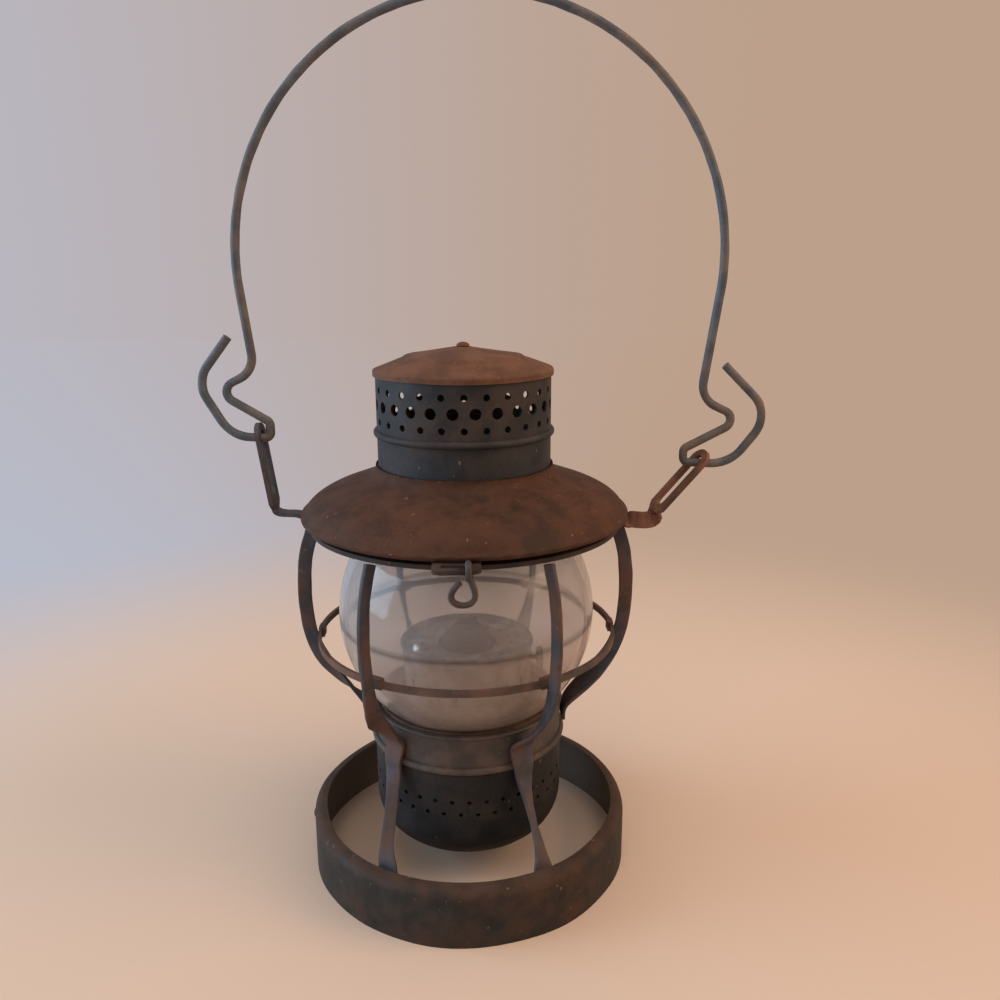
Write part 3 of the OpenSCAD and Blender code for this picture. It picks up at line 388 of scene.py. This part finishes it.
# Globe: clear blown glass with ground ends, standing in the collar's seat. Dust lies on it, more
# towards the foot, and a dark stain runs round it at its widest height.
GLOBE_RADIUS = 0.0562
GLOBE_SEGMENTS = 128
GLOBE_RINGS = 80
GLASS_WALL = 0.003
GROUND_EDGE = 0.0006
BLOWN_WAVE = 0.00012
BLOWN_WAVE_SIZE = 0.03
WAVE_ROOM = 0.0001
glass_low, glass_high = (Vector(corner).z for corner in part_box("globe"))
glass_middle = (glass_low + glass_high) / 2
bpy.ops.object.select_all(action="DESELECT")
bpy.ops.mesh.primitive_uv_sphere_add(segments=GLOBE_SEGMENTS, ring_count=GLOBE_RINGS,
                                     radius=GLOBE_RADIUS, location=(0, 0, glass_middle))
globe = bpy.context.object
globe.name = "globe_glass"
bpy.ops.object.transform_apply(location=True)
bpy.ops.object.mode_set(mode="EDIT")
for cut, is_top in ((glass_low, False), (glass_high, True)):
    bpy.ops.mesh.select_all(action="SELECT")
    bpy.ops.mesh.bisect(plane_co=(0, 0, cut), plane_no=(0, 0, 1), clear_outer=is_top,
                        clear_inner=not is_top)
bpy.ops.object.mode_set(mode="OBJECT")
modified(globe, "SOLIDIFY", thickness=GLASS_WALL, offset=-1)
rounded(globe, width=GROUND_EDGE, segments=3)
for vertex in globe.data.vertices:
    outward = Vector((vertex.co.x, vertex.co.y, 0)).normalized()
    vertex.co -= outward * (WAVE_ROOM + BLOWN_WAVE * noise.noise(vertex.co / BLOWN_WAVE_SIZE))
smooth(globe, angle=0.6)
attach(globe, "frame")
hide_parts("globe")

CLEAR = (0.93, 0.92, 0.915)
FOOT_FILM_FULL = 0.078
FOOT_FILM_GONE = 0.096
FILM_WANDER = 0.0016
STAIN_TOP = glass_middle - 0.0006
STAIN_HEIGHT = 0.003
STAIN_BLUR = 0.0006
glass = Finish("dusty_glass")
film = glass.noise(scale=30, detail=5, roughness=0.6, shift=2.0)
fine = glass.noise(scale=420, detail=3, roughness=0.6, shift=5.0)
height = glass.part(glass.place, 2) + film * FILM_WANDER
foot = 1 - glass.step(height, FOOT_FILM_FULL, FOOT_FILM_GONE)
below = 1 - glass.step(height, STAIN_TOP - STAIN_BLUR, STAIN_TOP + STAIN_BLUR)
stain = glass.step(height, STAIN_TOP - STAIN_HEIGHT, STAIN_TOP) * below
clear = glass.surface(fine, 0.00002, {
    "Base Color": (*CLEAR, 1),
    "Roughness": 0.02 + 0.05 * film,
    "Transmission Weight": 1.0,
    "IOR": 1.25})
grey = glass.colour(tone(186, 172, 166), tone(196, 172, 158), below)
grey = glass.colour(grey, tone(150, 128, 114), foot)
grey = glass.colour(grey, tone(70, 56, 50), stain)
dusty = glass.node("ShaderNodeBsdfPrincipled", None, {"Base Color": grey, "Roughness": 0.85})
amount = 0.20 + 0.08 * glass.step(film, 0.40, 0.66) + 0.07 * below + 0.10 * foot + 0.22 * stain
wear(globe, glass.done(glass.node("ShaderNodeMixShader", None, {
    0: amount + fine * 0.04, 1: clear, 2: dusty})))

# Top ring: the flat ring that the bars end in. It lies under the brim and carries both ears, the
# lid's hinge and the latch plate, all riveted on. Its dark iron is painted darker still, as painted
# shade under the brim.
# Old iron, painted darker as painted shade under the brim.
joint_iron_and_painted_shade = iron("joint_iron_and_painted_shade", tone(46, 40, 37), tone(64, 45, 36), 0.45, seed=7.2)
for name in ("top_ring", "ear_rivets", "hinge_rivets", "latch_rivets"):
    wear(nodes[name], joint_iron_and_painted_shade)

# Ears: two slotted iron tongues that hold the bail. The left one stands nearly upright and is
# blue-grey; the right one is bent well outwards and twisted, and is redder.
ear_iron = iron("ear_iron", tone(70, 70, 76), tone(100, 76, 64), 0.28, seed=12.0)
rusty_ear_iron = iron("rusty_ear_iron", tone(86, 64, 54), tone(120, 78, 60), 0.72, seed=13.0)
for side, slot, ear_finish in (("left", "dark_iron", ear_iron), ("right", "rusty_iron", rusty_ear_iron)):
    ear = copied("ear_" + side, "frame")
    rounded(ear, width=0.0003)
    pit(ear, depth=0.00015, size=0.006)
    smooth(ear, angle=0.8)
    wear(ear, ear_finish)

# Hinge: two leaves of sheet with rolled barrels on one pin, behind the brim. One leaf is riveted
# to the top ring and the other is bent over the brim's edge and riveted through it.
pin_iron = iron("pin_iron", tone(84, 78, 74), tone(104, 80, 64), 0.3, seed=11.5)
# The hinge leaves and the lid's rivets take the same iron, with its painted shade.
for name in ("hinge_leaf_frame", "hinge_leaf_lid", "lid_rivets"):
    wear(nodes[name], joint_iron_and_painted_shade)
wear(nodes["hinge_pin"], pin_iron)

# Latch: a slotted plate riveted to the top ring in front, and a wire hook that hangs from the
# plate's outer bar and ends in a curl for a finger.
latch_iron = iron("latch_iron", tone(46, 40, 37), tone(62, 45, 36), 0.5, seed=14.0)
hook_iron = iron("hook_iron", tone(66, 60, 58), tone(90, 68, 56), 0.4, seed=15.0)
plate = copied("latch_plate", "frame")
smooth(plate, angle=0.7)
wear(plate, latch_iron)
hook = copied("latch_hook", "latch")
modified(hook, "SUBSURF", levels=1, render_levels=1)
pit(hook, depth=0.00015, size=0.004)
smooth(hook, angle=1.2)
wear(hook, hook_iron)

# Brim: the spun sheet dome of the lid, with its edge rolled over. It sits over the flame, so
# its paint is gone and it is brown all over.
brim_iron = iron("brim_iron", tone(56, 34, 21), tone(72, 41, 24), 0.7, seed=9.1, dust=0.01)
brim = copied("brim", "lid")
dent(brim, depth=0.0005, size=0.035, flat=1)
smooth(brim, angle=0.7)
wear(brim, brim_iron)

# Chimney: a tube of sheet with a rolled bead and three rows of vent holes under the cap. Inside
# the lid a draft bell leads the hot air up from the globe.
chimney_iron = iron("chimney_iron", tone(46, 45, 45), tone(66, 50, 41), 0.22, seed=8.4)
wear(nodes["chimney"], chimney_iron)
wear(nodes["draft_bell"], seat_iron)

# Cap: a shallow stepped cone of sheet, pressed over the chimney and closed by one rivet at its
# top. It has burnt to the same brown as the brim, a little paler.
cap_iron = iron("cap_iron", tone(82, 53, 38), tone(100, 64, 45), 0.85, seed=10.2, dust=0.01)
cap = copied("cap", "lid")
dent(cap, depth=0.0004, size=0.02, flat=1)
smooth(cap, angle=0.6)
wear(cap, cap_iron)
wear(nodes["cap_rivet"], cap_iron)

# Bail: one length of iron wire, bent to a tall arch. Each end makes a shoulder, goes through its
# ear's slot, and turns up outside in a long open hook. The middle line is given in millimetres,
# as x and z in the plane y = 0: the tip and each bend's corner from the pivot, and its radius.
WIRE = 0.0038
PIT_ROOM = 0.0001
PIVOT_LEFT = Vector((-85.5, 196.5))
PIVOT_RIGHT = Vector((100.4, 183.4))
ARCH = Vector((8.45, 268.45))
ARCH_RADIUS = 99
ARCH_STEPS = 120
BEND_STEPS = 9
along = (PIVOT_RIGHT - PIVOT_LEFT).normalized()
left_bends = [(Vector(corner) + PIVOT_LEFT, radius) for corner, radius in (
    ((-10.8, 41.9), 0), ((-25, 23.7), 12), (along * -12.4, 14), (along * 4.1, 2.4),
    ((4.1, 6.7), 2.6), ((-17.4, 19.8), 4.4), ((-0.8, 28.1), 10))]
right_bends = [(Vector(corner) + PIVOT_RIGHT, radius) for corner, radius in (
    ((10, 41.8), 0), ((31.1, 20.9), 12.5), (along * 14, 16), (along * -6.2, 2.4),
    ((-6.2, 6.2), 2.6), ((18.6, 18.8), 4), ((0.1, 27.7), 10))]


def side_of_bail(bends, turn):
    """The wire's middle line from its tip to the arch, round each bend, and the arch's angle there."""
    reach = bends[-1][0] - ARCH
    meet = atan2(reach.y, reach.x) + turn * acos(ARCH_RADIUS / reach.length)
    places = [place for place, _ in bends] + [ARCH + ARCH_RADIUS * Vector((cos(meet), sin(meet)))]
    line = [places[0]]
    for i in range(1, len(bends)):
        radius = bends[i][1]
        before = (places[i - 1] - places[i]).normalized()
        after = (places[i + 1] - places[i]).normalized()
        half = acos(before.dot(after)) / 2
        centre = places[i] + (before + after).normalized() * (radius / sin(half))
        start = places[i] + before * (radius / tan(half)) - centre
        end = places[i] + after * (radius / tan(half)) - centre
        sweep = pi - 2 * half
        for k in range(BEND_STEPS + 1):
            share = k / BEND_STEPS
            turned = sin((1 - share) * sweep) * start + sin(share * sweep) * end
            line.append(centre + turned / sin(sweep))
    return line, meet


left_line, left_meet = side_of_bail(left_bends, -1)
right_line, right_meet = side_of_bail(right_bends, 1)
left_meet += 2 * pi
arch_angles = [left_meet + (right_meet - left_meet) * i / ARCH_STEPS for i in range(ARCH_STEPS + 1)]
arch_line = [ARCH + ARCH_RADIUS * Vector((cos(angle), sin(angle))) for angle in arch_angles]
middle_line = left_line + arch_line + right_line[::-1]
wire = bpy.data.curves.new("bail_wire", "CURVE")
wire.dimensions = "3D"
wire.bevel_depth = WIRE / 2 - PIT_ROOM
wire.bevel_resolution = 5
wire.use_fill_caps = True
run = wire.splines.new("POLY")
run.points.add(len(middle_line) - 1)
for point, place in zip(run.points, middle_line):
    point.co = (place.x / 1000, 0, place.y / 1000, 1)
bail = bpy.data.objects.new("bail_wire", wire)
bpy.context.scene.collection.objects.link(bail)
select(bail)
bpy.ops.object.convert(target="MESH")
bail = bpy.context.object
pit(bail, depth=0.0002, size=0.007)
smooth(bail, angle=0.9)
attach(bail, "bail")
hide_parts("bail")
wear(bail, iron("wire_iron", tone(86, 88, 92), tone(112, 88, 68), 0.32, seed=11.0))


# Fount: the oil tank, a can of soldered tinned sheet that stands in the pot and has gone grey.
# Its filler cap is of brass, as the burner that screws into it is.
def aged(name, colour, stain, rough, shine, seed, scale=120):
    """Bare metal or cloth with cloudy stains."""
    coat = Finish(name)
    cloud = coat.noise(scale, detail=5, roughness=0.6, shift=seed)
    speck = coat.noise(scale=700, detail=2, roughness=0.5, shift=seed)
    return coat.done(coat.surface(cloud + speck * 0.4, 0.0002, {
        "Base Color": coat.colour(colour, stain, coat.step(cloud, 0.38, 0.60)),
        "Roughness": rough + 0.25 * cloud,
        "Metallic": shine}))


tinned_sheet = aged("tinned_sheet", tone(132, 128, 122), tone(86, 76, 68), rough=0.42, shine=0.6,
                    seed=2.0)
burner_brass = aged("burner_brass", tone(160, 146, 134), tone(122, 108, 98), rough=0.6, shine=0.1,
                    seed=1.0)
wear(nodes["fount"], tinned_sheet)
wear(nodes["filler_cap"], burner_brass)

# Burner: thin pressed brass, gone dull: sleeve, slotted gallery, pierced deck, flat wick tube,
# and the shaft with its wheels and knob that raises the wick. The flame cone is black with soot.
sooty_brass = aged("sooty_brass", tone(30, 26, 24), tone(16, 14, 14), rough=0.7, shine=0.1, seed=1.5)
for name in ("burner_base", "burner_gallery", "burner_deck", "wick_tube", "wick_shaft", "wick_wheels",
             "wick_knob"):
    wear(nodes[name], burner_brass)
wear(nodes["burner_cone"], sooty_brass)

# Wick: a flat strip of woven cotton, held by the wheels in its tube. Oil and flame have left it
# stained.
wick_cotton = aged("wick_cotton", tone(168, 156, 136), tone(84, 72, 60), rough=0.8, shine=0.0, seed=3.0,
                   scale=500)
wear(nodes["wick"], wick_cotton)
